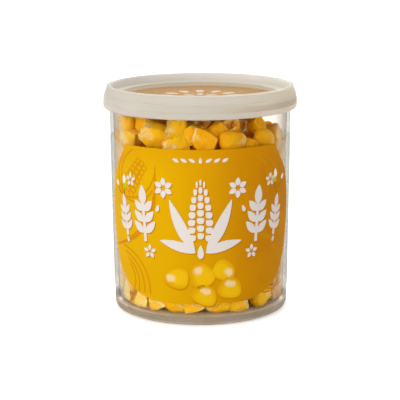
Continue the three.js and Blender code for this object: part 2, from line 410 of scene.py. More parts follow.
def printed_kernel():
    """A pictured kernel: bright in the middle, deeper at its edge, with a soft pale patch."""
    edge_amber = (0.56, 0.27, 0.0)
    middle_gold = (0.64, 0.37, 0.003)
    patch_cream = (0.66, 0.50, 0.28)
    made = Finish("kernel_print", Roughness=0.55, Specular_IOR_Level=INK_SHEEN)
    spot = made.node("ShaderNodeAttribute", attribute_name="spot").outputs["Vector"]

    def glow(place, size):
        feeds = {"Vector": spot, "Location": place, "Scale": size}
        shift = made.node("ShaderNodeMapping", feeds, vector_type="TEXTURE")
        ball = made.node("ShaderNodeTexGradient", {0: shift.outputs[0]}, gradient_type="SPHERICAL")
        return ball.outputs["Fac"]

    middle = made.spread(glow((-0.1, 0.2, 0.0), (1.1, 1.1, 1.0)), 0.0, 0.55)
    ground = made.mixed(middle, edge_amber, middle_gold)
    grain = made.times(made.sums("SUBTRACT", made.noise(0.55), 0.5), 0.9)
    patch = made.plus(glow((0.05, -0.36, 0.0), (0.6, 0.5, 1.0)), grain)
    made.wear("Base Color", made.mixed(made.spread(patch, 0.08, 0.62, 0.0, 0.8), ground, patch_cream))
    ink_grain(made)
    return made.material


def corn_skin():
    """Dry kernel skin: waxy gold, with pale crumbly flesh where it is cut or torn."""
    gold = (0.97, 0.54, 0.006)
    deep_gold = (0.84, 0.405, 0.002)
    streak_gold = (0.97, 0.62, 0.03)
    flesh_tan = (0.95, 0.58, 0.10)
    flesh_pale = (0.97, 0.74, 0.31)
    hollow_amber = (0.78, 0.33, 0.006)
    made = Finish(
        "corn_skin",
        Subsurface_Weight=0.3,
        Subsurface_Radius=(1.0, 0.42, 0.06),
        Subsurface_Scale=1.3 * MM,
        Specular_IOR_Level=0.16,
    )
    look = made.node("ShaderNodeAttribute", attribute_name="look").outputs["Color"]
    cut, tone, deep = made.node("ShaderNodeSeparateColor", {0: look}).outputs
    crumb = made.noise(0.9, 4.0, 0.65)
    ragged = made.plus(cut, made.times(made.sums("SUBTRACT", crumb, 0.5), 0.9))
    pale = made.spread(ragged, 0.36, 0.82)
    cloud = made.plus(made.times(made.noise(0.22, 2.0), 0.5), made.times(tone, 0.6))
    skin = made.mixed(made.spread(cloud, 0.2, 0.85), gold, deep_gold)
    streaky = made.spread(made.noise(0.5), 0.55, 0.75, 0.0, 0.5)
    skin = made.mixed(streaky, skin, streak_gold)
    flesh = made.mixed(made.spread(crumb, 0.35, 0.65), flesh_tan, flesh_pale)
    whole = made.mixed(pale, skin, flesh)
    made.wear("Base Color", made.mixed(deep, whole, hollow_amber))
    made.wear("Roughness", made.spread(pale, 0.0, 1.0, 0.42, 0.8))
    pits = made.times(crumb, made.spread(pale, 0.0, 1.0, 0.3, 1.0))
    wrinkles = made.times(made.noise(0.34), 2.4)
    made.relief(made.plus(pits, wrinkles), 0.5, 0.75)
    return made.material


def heap_inside_painted_shade():
    """The gold of corn deep in the heap, painted dim as the shade between the kernels."""
    made = Finish("corn_core_painted_shade", Roughness=0.85, Specular_IOR_Level=0.2)
    # Painted shade: darker golds than the kernels' own.
    made.wear("Base Color", made.mixed(made.noise(0.12), (0.42, 0.15, 0.003), (0.60, 0.26, 0.006)))
    made.relief(made.noise(0.25), 1.5, 0.8)
    return made.material


# ---------------------------------------------------------------- tub, lid, film and disc


def tub_piece():
    """The clear wall over a raised floor and a foot ring, with a rim that the lid grips."""
    rim = TUB_TOP
    outline = [
        (0.0, FLOOR_UNDER),
        (31.0, FLOOR_UNDER),
        (32.4, 0.0),
        (34.3, 0.0),
        (36.1, 0.8),
        (36.55, 1.45),
        (36.35, 1.65),
        (36.75, 2.0),
        (wall_radius(3.0), 3.0),
        (wall_radius(rim - 2.2), rim - 2.2),
        (MOUTH_R + 1.1, rim - 1.6),
        (MOUTH_R + 1.1, rim - 0.5),
        (MOUTH_R + 0.5, rim),
        (inner_radius(rim), rim),
        (inner_radius(FLOOR_TOP), FLOOR_TOP + 1.0),
        (inner_radius(FLOOR_TOP) - 1.0, FLOOR_TOP),
        (0.0, FLOOR_TOP),
    ]
    return new_piece("clear_tub", spun(outline, 0.5), clear_plastic(), ["tub"])


def lid_piece():
    """The milky lid: a sunken middle, a raised rim and a skirt with three fine grooves."""
    under = LID_MIDDLE - LID_SKIN
    outline = [
        (0.0, under),
        (32.6, under),
        (33.9, under + 0.5),
        (36.0, LID_MIDDLE),
        (36.3, LID_MIDDLE + 0.4),
        (36.4, TUB_TOP + 0.6),
        (37.9, LID_TOP - LID_SKIN),
        (38.4, LID_TOP - LID_SKIN),
        (39.6, TUB_TOP + 0.7),
        (39.8, TUB_TOP - 2.5),
        (39.7, LID_EDGE + 2.0),
        (38.65, LID_EDGE + 1.0),
        (38.65, LID_EDGE),
        (LID_R - 0.7, LID_EDGE),
        (LID_R - 0.1, LID_EDGE + 0.7),
        (LID_R, LID_EDGE + 2.0),
        (LID_R - 0.02, LID_EDGE + 2.55),
        (LID_R - 0.3, LID_EDGE + 2.8),
        (LID_R - 0.05, LID_EDGE + 3.1),
        (LID_R - 0.15, LID_EDGE + 4.3),
        (LID_R - 0.4, LID_EDGE + 5.5),
        (LID_R - 0.65, LID_EDGE + 5.75),
        (LID_R - 0.5, LID_EDGE + 6.1),
        (LID_R - 1.3, LID_EDGE + 8.2),
        (LID_R - 1.45, LID_EDGE + 8.6),
        (LID_R - 1.9, LID_EDGE + 8.95),
        (LID_R - 1.6, LID_EDGE + 9.3),
        (LID_R - 1.6, LID_TOP - 0.9),
        (LID_R - 1.85, LID_TOP - 0.75),
        (LID_R - 1.9, LID_TOP - 0.3),
        (38.4, LID_TOP),
        (37.6, LID_TOP),
        (37.2, LID_TOP - 0.4),
        (36.5, LID_MIDDLE + 1.6),
        (35.9, LID_MIDDLE + 0.9),
        (33.2, LID_MIDDLE + 0.7),
        (32.7, LID_MIDDLE),
        (0.0, LID_MIDDLE),
    ]
    return new_piece("milky_lid", spun(outline, 0.25), milky_plastic(), ["lid"])


def film_piece():
    """The clear sleeve round the wall."""
    foot = wall_radius(LABEL_FOOT) + FILM_GAP
    top = wall_radius(LABEL_TOP) + FILM_GAP
    outline = [
        (foot, LABEL_FOOT),
        (foot + FILM_THICK, LABEL_FOOT),
        (top + FILM_THICK, LABEL_TOP),
        (top, LABEL_TOP),
    ]
    return new_piece("clear_film", spun(outline, 0.03), clear_film(), ["label_film"])


def seal_piece():
    """The printed disc under the lid's sunken middle."""
    outline = [(0.0, SEAL_FOOT), (SEAL_R, SEAL_FOOT), (SEAL_R, SEAL_TOP), (0.0, SEAL_TOP)]
    ink = printed("disc_ground", (0.45, 0.215, 0.004), (0.40, 0.18, 0.003))
    return new_piece("lid_disc", spun(outline, 0.05), ink, ["seal"])


# ---------------------------------------------------------------- label

# The printed panel's outline: a share of the label's height, and half the panel's angle in degrees.
PANEL_SPAN = [
    (0.0, 30.0),
    (0.02, 39.0),
    (0.07, 51.0),
    (0.17, 61.0),
    (0.33, 68.0),
    (0.58, 71.0),
    (0.8, 66.5),
    (1.0, 53.0),
]
PANEL_COLUMNS = 72
PANEL_ROWS = 60
PANEL_CROWDING = 1.5  # draws the rows down to where the outline bends most
LABEL_LIFT = FILM_GAP * 2 + FILM_THICK  # inner face of the printed panel over the wall
LABEL_FACE = LABEL_LIFT + FILM_THICK
LABEL_R = wall_radius((LABEL_FOOT + LABEL_TOP) / 2) + LABEL_FACE


def panel_half_angle(share):
    """Half the angle of the panel at a share of its height, on a smooth line through PANEL_SPAN."""
    spans = [PANEL_SPAN[0], *PANEL_SPAN, PANEL_SPAN[-1]]
    i = next(i for i in range(2, len(spans) - 1) if spans[i][0] >= share or i == len(spans) - 2)
    (_, before), (low, start), (high, end), (_, after) = spans[i - 2 : i + 2]
    t = (share - low) / (high - low)
    bend_in = 0.5 * (end - before)
    bend_out = 0.5 * (after - start)
    near_start = 2 * t**3 - 3 * t**2 + 1
    leaving = t**3 - 2 * t**2 + t
    arriving = t**3 - t**2
    straight = near_start * start + (1 - near_start) * end
    return math.radians(straight + leaving * bend_in + arriving * bend_out)


def panel_piece():
    """The barrel-shaped printed panel, a curved slab over the film."""
    bm = bmesh.new()
    bmesh.ops.create_grid(bm, x_segments=PANEL_COLUMNS, y_segments=PANEL_ROWS, size=1.0)
    bmesh.ops.solidify(bm, geom=bm.faces[:], thickness=1.0)
    middle = sum(v.co.z for v in bm.verts) / len(bm.verts)
    for v in bm.verts:
        share = min(1.0, ((v.co.y + 1.0) / 2.0) ** PANEL_CROWDING)
        z = LABEL_FOOT + (LABEL_TOP - LABEL_FOOT) * share
        angle = panel_half_angle(share) * v.co.x
        r = wall_radius(z) + (LABEL_FACE if v.co.z > middle else LABEL_LIFT)
        v.co = Vector((r * math.sin(angle), -r * math.cos(angle), z)) * MM
    bmesh.ops.recalc_face_normals(bm, faces=bm.faces[:])
    piece = new_piece("label_panel_print", bm, label_ground(), ["label_panel"])
    sharpen(piece.data, 40)
    return piece


def sharpen(mesh, degrees):
    """Keeps edges steeper than this angle crisp under smooth shading."""
    mesh.set_sharp_from_angle(angle=math.radians(degrees))


class Ink:
    """Flat shapes of one colour, drawn in mm, then laid on the label or the disc."""

    STRIP = 1.5  # mm between the cuts that let a flat shape bend
    SINK = 0.01  # mm that the ink's underside sinks into what it is printed on

    def __init__(self, height):
        self.bm = bmesh.new()
        self.spot = self.bm.verts.layers.float_vector.new("spot")
        self.height = height  # mm over the face it is printed on

    def blob(self, outline, x, z, turn=0.0, sides=20):
        """One filled shape: outline(angle) gives its (across, up) in mm about its own middle."""
        made = bmesh.ops.create_circle(self.bm, cap_ends=True, radius=1.0, segments=sides)
        cos, sin = math.cos(math.radians(turn)), math.sin(math.radians(turn))
        for v in made["verts"]:
            across, up = outline(math.atan2(v.co.y, v.co.x))
            v[self.spot] = (v.co.x, v.co.y, 0.0)
            v.co = (x + across * cos - up * sin, z + across * sin + up * cos, 0.0)

    def stroke(self, path, width, steps=14, taper=0.0):
        """A ribbon along path(share), which gives (across, up) in mm. taper thins its ends."""
        made = bmesh.ops.create_grid(self.bm, x_segments=steps, y_segments=1, size=1.0)
        for v in made["verts"]:
            share = (v.co.x + 1.0) / 2.0
            here = Vector(path(share))
            along = Vector(path(min(1.0, share + 0.01))) - Vector(path(max(0.0, share - 0.01)))
            side = Vector((-along.y, along.x)).normalized()
            thin = 1.0 - taper * abs(2.0 * share - 1.0) ** 2
            spot = here + side * (v.co.y * width * thin / 2.0)
            v[self.spot] = (v.co.x, v.co.y, 0.0)
            v.co = (spot.x, spot.y, 0.0)

    def thickened(self):
        """Cuts the shapes into strips and gives them a thin body."""
        bm = self.bm
        bmesh.ops.triangulate(bm, faces=bm.faces[:])
        xs = [v.co.x for v in bm.verts]
        cut = math.ceil(min(xs) / self.STRIP) * self.STRIP
        while cut < max(xs):
            geom = bm.verts[:] + bm.edges[:] + bm.faces[:]
            bmesh.ops.bisect_plane(bm, geom=geom, plane_co=(cut, 0, 0), plane_no=(1, 0, 0), dist=1e-4)
            cut += self.STRIP
        for face in bm.faces:
            if face.normal.z < 0:
                face.normal_flip()
        top = bmesh.ops.extrude_face_region(bm, geom=bm.faces[:], use_keep_orig=True)["geom"]
        for v in top:
            if isinstance(v, bmesh.types.BMVert):
                v.co.z = 1.0
        return bm

    def laid(self, name, material, place):
        """The finished print: place(across, up, lift) gives each point of it in mm."""
        bm = self.thickened()
        for v in bm.verts:
            lift = self.height if v.co.z > 0.5 else -self.SINK
            v.co = Vector(place(v.co.x, v.co.y, lift)) * MM
        bmesh.ops.recalc_face_normals(bm, faces=bm.faces[:])
        return new_piece(name, bm, material, smooth=False)

    def on_label(self, name, material):
        """Bends the print round the label."""

        def place(across, up, lift):
            angle = across / LABEL_R
            r = wall_radius(up) + LABEL_FACE + lift
            return r * math.sin(angle), -r * math.cos(angle), up

        return self.laid(name, material, place)

    def on_disc(self, name, material):
        """Lays the print flat on the disc."""

        def place(across, up, lift):
            return across, up, SEAL_TOP + lift

        return self.laid(name, material, place)


def leaf(length, width, lean=0.0):
    """A pointed leaf that stands on its own foot."""

    def outline(angle):
        up = (math.sin(angle) + 1.0) / 2.0
        full = math.sin(math.pi * up**0.85) ** 0.8 if 0.0 < up < 1.0 else 0.0
        side = math.copysign(full, math.cos(angle)) * width / 2.0
        return side + lean * up * up, up * length

    return outline


def drop(length, width):
    """A teardrop: round below and narrowing to a soft tip."""

    def outline(angle):
        up = (math.sin(angle) + 1.0) / 2.0
        full = math.cos(angle) * (1.0 - 0.62 * up**1.5)
        return full * width / 2.0, (up - 0.5) * length

    return outline


def tooth(length, width, waist=0.62):
    """A kernel: broad and rounded above, narrow and blunt below."""

    def outline(angle):
        power = 0.72
        across = math.copysign(abs(math.cos(angle)) ** power, math.cos(angle))
        up = math.copysign(abs(math.sin(angle)) ** power, math.sin(angle))
        narrow = waist + (1.0 - waist) * smoothstep(up, -1.0, 0.4)
        return across * narrow * width / 2.0, up * length / 2.0

    return outline


def line(x0, z0, x1, z1, bow=0.0):
    """A path from one point to another that bows to its left."""
    start, end = Vector((x0, z0)), Vector((x1, z1))
    side = Vector((-(end - start).y, (end - start).x))

    def path(share):
        spot = start.lerp(end, share) + side * (bow * 4.0 * share * (1.0 - share))
        return spot.x, spot.y

    return path


def ring(x, z, outline, turn=0.0):
    """A closed path round an outline."""
    cos, sin = math.cos(math.radians(turn)), math.sin(math.radians(turn))

    def path(share):
        across, up = outline(share * math.tau)
        return x + across * cos - up * sin, z + across * sin + up * cos

    return path


def sprout(ink, x, z, height, turn=0.0):
    """A stem with paired leaves and one at its tip."""
    tilt = Matrix.Rotation(math.radians(turn), 2)

    def at(across, up):
        spot = tilt @ Vector((across, up))
        return x + spot.x, z + spot.y

    foot, tip = at(0, -height / 2), at(0, height * 0.22)
    ink.stroke(line(*foot, *tip), 1.4, 4)
    ink.blob(leaf(height * 0.36, height * 0.17), *at(0, height * 0.16), turn)
    for rank in (-0.34, -0.14, 0.06):
        for side in (-1, 1):
            size = height * (0.30 - 0.12 * (rank + 0.34))
            shape = leaf(size, height * 0.14, side * -0.6)
            ink.blob(shape, *at(side * 0.3, height * rank), turn + side * -52.0)


def blossom(ink, x, z, size, petals):
    """Petals round an open middle."""
    petal = leaf(size * 0.4, size * 0.27)
    for i in range(petals):
        turn = 360.0 * i / petals
        out = math.radians(turn + 90.0)
        ink.blob(petal, x + math.cos(out) * size * 0.11, z + math.sin(out) * size * 0.11, turn)


def bold_cob(ink, x, z, height):
    """A standing cob: rows of separate kernels that narrow to a tip, between husk leaves."""
    rows = 8
    pitch = height * 0.80 / rows
    for row in range(rows):
        share = row / (rows - 1)
        girth = height * 0.36 * (1.0 - share**2.2 * 0.62) * (0.86 + 0.14 * min(1.0, share * 4.0))
        for column in (-1, 0, 1):
            up = z + height * 0.2 + row * pitch - abs(column) * pitch * 0.28
            size = girth / 3.0 - 0.55
            ink.blob(tooth(pitch - 0.5, size, 0.86), x + column * girth / 3.0, up, 0.0, 14)
    for side in (-1, 1):
        tall_husk = leaf(height * 0.74, height * 0.15, side * height * -0.10)
        ink.blob(tall_husk, x + side * 2.4, z, side * -34.0, 26)
        low_husk = leaf(height * 0.50, height * 0.13, side * height * 0.05)
        ink.blob(low_husk, x + side * 2.0, z - 0.6, side * -68.0, 24)
    ink.blob(drop(height * 0.18, height * 0.1), x, z - 0.4, 0.0, 14)


# The bold motifs, in mm along the label's face and up from the tub's foot. All but the cob stand
# once on each side.
COB_FOOT = 32.0
COB_HEIGHT = 31.5
SPROUTS = ((24.8, 46.0, 23.0, -4.0), (35.8, 44.0, 17.0, -9.0))  # across, up, height, turn
BLOSSOMS = ((15.4, 57.6, 8.4, 6), (32.0, 59.2, 5.8, 5), (22.0, 30.6, 6.0, 5))  # size and petals
DROPS = ((18.0, 49.0, 3.0, 2.0, 20.0), (34.4, 34.0, 2.6, 1.8, -20.0))  # length, width, turn
SHADOW_SHIFT = 0.4  # to the right and down


def bold_motifs(ink, shift=0.0):
    """A cob in the middle, with leafy stems and small blossoms on both sides."""

    def at(x, z):
        return x + shift, z - shift

    bold_cob(ink, *at(0.0, COB_FOOT), COB_HEIGHT)
    for side in (-1, 1):
        for across, up, height, turn in SPROUTS:
            sprout(ink, *at(side * across, up), height, side * turn)
        for across, up, size, petals in BLOSSOMS:
            blossom(ink, *at(side * across, up), size, petals)
        for across, up, length, width, turn in DROPS:
            ink.blob(drop(length, width), *at(side * across, up), side * turn, 12)


ROW_UP = 68.6  # height of the row of leaves above the bold motifs
ROW_STEP = 3.3
ROW_TURN = 62.0


def small_ornament(ink):
    """A short row of leaves above the bold motifs, with a drop in its middle."""
    for side in (-1, 1):
        for step in (1, 2, 3):
            ink.blob(leaf(2.9, 1.3), side * (step * ROW_STEP - 1.2), ROW_UP, -side * ROW_TURN, 12)
    ink.blob(drop(2.4, 1.6), 0.0, ROW_UP + 0.7, 0.0, 12)


def label_art():
    """Everything printed on the yellow panel."""
    white = printed("ink_white", (0.59, 0.54, 0.50), (0.57, 0.515, 0.475))
    ink = Ink(0.05)
    bold_motifs(ink)
    small_ornament(ink)
    ink.on_label("print_bold_motifs", white)

    shade = printed("ink_deep_orange", (0.40, 0.145, 0.0), (0.37, 0.13, 0.0))
    ink = Ink(0.025)
    bold_motifs(ink, SHADOW_SHIFT)
    ink.on_label("print_motif_shadow", shade)

    faint = printed("ink_dark_yellow", (0.50, 0.20, 0.0), (0.48, 0.19, 0.0))
    ink = Ink(0.012)
    faint_drawing(ink)
    ink.on_label("print_faint_drawing", faint)

    pictured_kernels()
    pictured_sprigs()


DRAWN_COBS = ((-29.0, 62.0, -38.0, 21.0), (30.5, 23.0, 30.0, 20.0))  # across, up, turn, length
FAINT_LINE = 0.7  # width of the drawing's long lines


def faint_drawing(ink):
    """Thin darker lines: cobs with rows of kernels, long husk leaves and winding stalks."""
    for x, z, turn, length in DRAWN_COBS:
        drawn_cob(ink, x, z, turn, length)
    for side in (-1, 1):
        for step in range(3):
            foot = side * (44.0 - step * 3.2)
            husk = line(foot, 30.0 + step, side * 19.0, 66.0 - step * 4.0, side * 0.2)
            ink.stroke(husk, FAINT_LINE, 18)
    for step in range(4):
        low_stalk = line(-22.0 - step * 3.2, 12.5, -38.0 + step * 1.5, 31.0 - step * 2.5, -0.2)
        ink.stroke(low_stalk, FAINT_LINE, 18)
        high_stalk = line(12.0 + step * 4.0, 71.5, 36.0 - step * 2.0, 63.0 - step * 3.0, 0.16)
        ink.stroke(high_stalk, 0.65, 18)


def drawn_cob(ink, x, z, turn, length):
    """A cob in thin outlines: rows of kernels between husk leaves."""
    tilt = Matrix.Rotation(math.radians(turn), 2)
    rows = 7
    for row in range(rows):
        girth = length * (0.15 - 0.008 * row)
        for column in (-1, 0, 1):
            spot = tilt @ Vector((column * girth, (row - rows / 2) * length / 9.0 - abs(column) * 0.5))
            kernel = tooth(length / 9.6, girth * 0.92, 0.9)
            ink.stroke(ring(x + spot.x, z + spot.y, kernel, turn), 0.5, 14)
    for side in (-1, 1):
        for reach_out, rise in ((0.34, 0.34), (0.5, 0.05)):
            foot = tilt @ Vector((0.0, -length * 0.6))
            tip = tilt @ Vector((side * length * reach_out, length * rise))
            ink.stroke(line(x + foot.x, z + foot.y, x + tip.x, z + tip.y, side * -0.22), FAINT_LINE, 16)


PICTURED = (  # each pictured kernel: across, up, turn, length, width
    (-10.4, 20.4, -94.0, 10.6, 8.8),
    (9.8, 23.6, 60.0, 9.6, 8.6),
    (0.2, 22.0, -150.0, 10.6, 10.4),
    (12.2, 16.2, 172.0, 8.6, 10.8),
    (1.6, 13.6, 160.0, 8.2, 10.8),
)
PICTURED_WAIST = 0.78


def pictured_kernels():
    """The low heap of kernels at the foot of the label, over its shadow."""
    amber = printed("ink_amber_shadow", (0.44, 0.17, 0.0), (0.48, 0.20, 0.0))
    shade = Ink(0.02)
    kernels = Ink(0.04)
    for x, z, turn, length, width in PICTURED:
        shade.blob(tooth(length + 0.3, width + 0.3, PICTURED_WAIST), x + 0.3, z - 0.6, turn, 26)
        kernels.blob(tooth(length, width, PICTURED_WAIST), x, z, turn, 28)
    shade.on_label("print_kernel_shadow", amber)
    kernels.on_label("print_kernels", printed_kernel())


SPRIGS = ((1, 37.6, 56.5), (-1, -38.6, 54.0))  # side, across, up


def pictured_sprigs():
    """Two small flowering twigs, one high on each side of the label."""
    twig = printed("ink_brown", (0.30, 0.115, 0.003), (0.34, 0.14, 0.003))
    green = printed("ink_green", (0.36, 0.42, 0.0), (0.42, 0.43, 0.0))
    white = printed("ink_petal_white", (0.72, 0.65, 0.61), (0.69, 0.62, 0.57))
    stems, leaves, petals = Ink(0.03), Ink(0.05), Ink(0.05)
    for side, x, z in SPRIGS:
        stems.stroke(line(x, z - 5.0, x - side * 2.0, z + 3.0, side * 0.15), 0.7, 8, 0.5)
        stems.stroke(line(x - side * 0.6, z - 1.5, x + side * 2.6, z + 1.6, side * -0.15), 0.6, 8, 0.5)
        leaves.blob(leaf(4.2, 2.0), x - side * 1.6, z + 1.2, side * 48.0, 14)
        petals.blob(leaf(3.8, 2.2), x - side * 1.9, z + 3.0, side * 8.0, 14)
        petals.blob(leaf(2.8, 1.7), x + side * 2.6, z + 1.6, side * -40.0, 14)
    stems.on_label("print_twigs", twig)
    leaves.on_label("print_leaves", green)
    petals.on_label("print_petals", white)


DISC_RINGS = ((13, 14.4, tooth, 6.4), (6, 5.6, drop, 5.8))  # how many, mm from the middle, shape, size


def disc_art():
    """Rings of pale kernels and drops on the disc under the lid."""
    ink = Ink(0.02)
    for count, away, motif, size in DISC_RINGS:
        for i in range(count):
            turn = 360.0 * i / count
            out = math.radians(turn + 90.0)
            ink.blob(motif(size, size * 0.62), away * math.cos(out), away * math.sin(out), turn, 14)
    white = printed("disc_pale_print", (0.74, 0.64, 0.52), (0.70, 0.59, 0.46))
    ink.on_disc("print_disc_rings", white)


# ---------------------------------------------------------------- kernels

KERNEL_SEED = 11
KINDS = {"plump": 5, "cupped": 4, "blocky": 4, "split": 3}  # kinds that fall, and shapes of each
CROWD_CUTS = 3  # cuts along each side of the block that a falling kernel starts from
CLOSE_CUTS = 6
LENGTHS = (10.4, 12.0)  # smallest and greatest, in mm
WIDTHS = (7.8, 9.3)
THICKS = (5.6, 7.0)

# How each kind is made: its roundness, its width at the cut end, where it is cut on a block from
# -1 to 1, and the cut's rim width, depth and raggedness.
Form = namedtuple("Form", "roundness waist cut_at rim_width depth ragged")
FORMS = {
    "plump": Form(0.56, 0.66, (0, -0.84, 0), 0.15, 0.14, 0.09),
    "cupped": Form(0.52, 0.8, (0, -0.48, 0), 0.15, 0.5, 0.13),
    "blocky": Form(0.34, 0.6, (0, -0.72, 0), 0.15, 0.14, 0.1),
    "split": Form(0.46, 0.7, (0.3, 0, 0), 0.15, 0.24, 0.1),
    "whole": Form(0.8, 0.8, (0, -0.94, 0), 0.1, 0.08, 0.05),
}


def rounded_block(bm, roundness, cuts):
    """A cube cut up on each side and blown towards a ball."""
    bmesh.ops.create_cube(bm, size=2.0)
    bmesh.ops.subdivide_edges(bm, edges=bm.edges[:], cuts=cuts, use_grid_fill=True)
    for v in bm.verts:
        v.co = v.co.lerp(v.co.normalized() * 1.12, roundness)


def shaped(bm, draw, waist):
    """Draws the block in towards its cut end at -Y and makes it uneven and a little shrunken."""
    shift = Vector((draw.uniform(0, 40), draw.uniform(0, 40), draw.uniform(0, 40)))
    skew = draw.uniform(-0.15, 0.15)
    for v in bm.verts:
        along = smoothstep(v.co.y, -1.1, 0.35)
        v.co.x *= waist + (1.0 - waist) * along
        v.co.z *= (waist + 0.1) + (0.9 - waist) * along
        v.co.x += skew * v.co.y
        dent = noise.noise(v.co * 1.1 + shift) * 0.16 + noise.noise(v.co * 2.6 - shift) * 0.08
        v.co += v.co.normalized() * dent


def cut_way(kind, draw):
    """The way that a kernel's cut faces."""
    if kind == "cupped":
        return Vector((draw.uniform(-0.3, 0.3), -1, draw.uniform(-0.1, 0.5))).normalized()
    if kind == "blocky":
        return Vector((0.15, -1, 0.25)).normalized()
    if kind == "split":
        return Vector((1, -0.35, draw.uniform(0.0, 0.5))).normalized()
    return Vector((0, -1, 0))


def cut_open(bm, layer, form, away, draw):
    """Slices off one side and hollows the cut, leaving a pale ragged rim."""
    geom = bm.verts[:] + bm.edges[:] + bm.faces[:]
    made = bmesh.ops.bisect_plane(
        bm, geom=geom, plane_co=form.cut_at, plane_no=away, clear_outer=True, dist=1e-4
    )
    loop = [e for e in made["geom_cut"] if isinstance(e, bmesh.types.BMEdge)]
    cap = bmesh.ops.edgeloop_fill(bm, edges=loop)["faces"]
    rim = sorted({v for e in loop for v in e.verts}, key=lambda v: v.index)
    shift = Vector((draw.uniform(0, 40), draw.uniform(0, 40), 0.0))
    for v in rim:
        v[layer] = (1.0, 0.0, 0.0, 1.0)
        torn = noise.noise(v.co * 2.2 + shift) * 1.6 + noise.noise(v.co * 6.0 - shift) * 0.8
        v.co += away * form.ragged * torn
    bmesh.ops.inset_individual(bm, faces=cap, thickness=form.rim_width, depth=0.0)
    for face in cap:
        for v in face.verts:
            v[layer] = (0.9, 0.0, 0.2, 1.0)
            v.co -= away * form.depth * draw.uniform(0.7, 1.2)
    bmesh.ops.inset_individual(bm, faces=cap, thickness=form.rim_width * 1.2, depth=0.0)
    for face in cap:
        for v in face.verts:
            v[layer] = (0.55, 0.0, 0.5, 1.0)
            v.co -= away * form.depth * draw.uniform(0.15, 0.5)
    tip = bmesh.ops.poke(bm, faces=cap, offset=-0.04, center_mode="MEAN")["verts"]
    for v in tip:
        v[layer] = (0.5, 0.0, 0.6, 1.0)


def kernel_shape(kind, draw, cuts=CROWD_CUTS, paler=0.0):
    """One kernel as a mesh in metres: crown towards +Y, cut end towards -Y, thin along Z.

    Its "look" colour holds how cut, which tone and how deep in a hollow each point is.
    """
    form = FORMS[kind]
    bm = bmesh.new()
    layer = bm.verts.layers.float_color.new("look")
    rounded_block(bm, form.roundness, cuts)
    shaped(bm, draw, form.waist + draw.uniform(-0.05, 0.05))
    for v in bm.verts:
        end = smoothstep(-v.co.y, 0.1, 0.95)
        germ = 1.0 - math.hypot(v.co.x / 0.5, (v.co.y + 0.35) / 0.62)
        pale = max(end * 0.8, smoothstep(germ, 0.0, 0.5) * (0.62 if v.co.z > 0.2 else 0.0))
        v[layer] = (min(1.0, pale + paler), 0.0, 0.0, 1.0)
        if v.co.z > 0.2:
            v.co.z -= 0.14 * smoothstep(germ, 0.0, 0.8)
    cut_open(bm, layer, form, cut_way(kind, draw), draw)
    length, width, thick = draw.uniform(*LENGTHS), draw.uniform(*WIDTHS), draw.uniform(*THICKS)
    bmesh.ops.scale(bm, vec=Vector((width, length, thick)) * (MM / 2.0), verts=bm.verts[:])
    middle = sum((v.co for v in bm.verts), Vector()) / len(bm.verts)
    bmesh.ops.translate(bm, vec=-middle, verts=bm.verts[:])
    bmesh.ops.recalc_face_normals(bm, faces=bm.faces[:])
    return bare_mesh(bm, "kernel_" + kind)


# Kernels that lie close behind the front wall: kind, mm across, mm up, turn of the crown from
# upright and lean of the cut end towards the front in degrees, size, mm behind the wall, tone,
# and how pale its skin is.
CLOSE = (
    ("whole", -31.4, 80.6, -84.0, 6.0, 0.86, 0.0, 0.0, 0.2),
    ("plump", -29.6, 75.2, -112.0, 24.0, 0.92, 0.4, 0.0, 0.46),
    ("plump", -19.6, 77.6, -124.0, 34.0, 1.26, 0.2, 0.1, 0.1),
    ("plump", -21.6, 80.6, 60.0, 0.0, 0.92, 4.4, 0.7, 0.0),
    ("cupped", -9.6, 80.6, -95.0, 40.0, 0.96, 2.2, 0.2, 0.05),
    ("plump", -10.8, 73.7, -70.0, 34.0, 1.06, 0.0, 0.0, 0.2),
    ("blocky", -5.4, 77.4, -60.0, 0.0, 0.92, 4.2, 0.5, 0.0),
    ("blocky", 0.7, 76.6, -118.0, -10.0, 1.16, 0.2, 0.95, 0.0),
    ("blocky", 7.8, 77.6, 40.0, 0.0, 1.0, 4.4, 0.9, 0.0),
    ("whole", 13.8, 75.6, 93.0, -10.0, 1.04, 0.0, 0.6, 0.0),
    ("cupped", 12.4, 80.6, 200.0, 44.0, 0.86, 4.2, 0.9, 0.0),
    ("whole", 26.8, 74.8, 80.0, -6.0, 1.0, 0.3, 0.35, 0.0),
    ("split", 24.2, 79.4, 20.0, 30.0, 0.94, 3.4, 0.9, 0.0),
    ("blocky", 20.6, 72.0, 80.0, 20.0, 0.88, 2.0, 0.7, 0.0),
    ("blocky", 31.0, 73.4, 30.0, 10.0, 0.92, 1.8, 0.4, 0.3),
    ("blocky", -29.0, 8.4, 60.0, 10.0, 0.98, 0.0, 0.0, 0.72),
    ("blocky", -22.6, 7.6, 75.0, 8.0, 0.92, 0.0, 0.0, 0.66),
    ("blocky", -16.4, 7.4, 100.0, 8.0, 0.94, 0.0, 0.0, 0.5),
    ("whole", -9.8, 7.0, 70.0, -10.0, 0.98, 0.0, 0.3, 0.0),
    ("blocky", -1.9, 7.4, 100.0, 8.0, 1.0, 0.6, 0.0, 0.4),
    ("whole", 6.2, 7.2, -84.0, 0.0, 1.04, 0.0, 0.0, 0.05),
    ("blocky", 16.0, 7.6, 80.0, 4.0, 1.06, 0.2, 0.0, 0.2),
    ("plump", 25.4, 7.8, 98.0, 0.0, 1.0, 0.3, 0.0, 0.1),
    ("plump", -34.2, 11.6, 60.0, 10.0, 0.94, 0.0, 0.0, 0.8),
    ("plump", -34.4, 19.6, 100.0, 0.0, 0.9, 0.0, 0.0, 0.8),
)
CLOSE_HALF = 3.1  # half the thickness of such a kernel
FACE_OUT = Matrix(((1, 0, 0), (0, 0, -1), (0, 1, 0)))  # stands a kernel up, its flat side to the front


